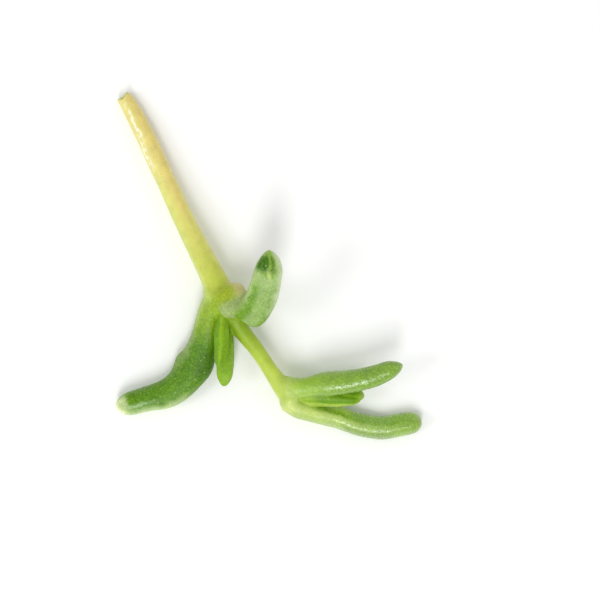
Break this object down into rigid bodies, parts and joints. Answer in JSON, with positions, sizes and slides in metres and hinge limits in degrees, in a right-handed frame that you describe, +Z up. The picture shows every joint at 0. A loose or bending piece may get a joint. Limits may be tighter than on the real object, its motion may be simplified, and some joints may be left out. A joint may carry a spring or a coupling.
{
  "type": "samphire sprig",
  "caption": "Cut sprig of fleshy-leaved samphire lying flat: a stem with paired finger-like leaves and small young leaves.",
  "frame": {"origin": "on the surface that the sprig lies on, under the middle of its outline seen from above", "axes": "+Y along the table towards the cut end of the stem, +X towards the shoot's tip, +Z up"},
  "size_m": [0.0617, 0.0698, 0.0175],
  "materials": {
    "stem": "satin",
    "leaf": "satin",
    "young_leaf": "satin"
  },
  "bodies": {
    "root": {"stem": "stem", "lower_leaf_left": "leaf", "lower_leaf_right": "leaf", "axil_leaf_front": "young_leaf", "axil_leaf_back": "young_leaf", "tip_leaf_upper": "leaf", "tip_leaf_lower": "leaf", "bud_leaf_front": "young_leaf", "bud_leaf_back": "young_leaf"}
  },
  "joints": []
}
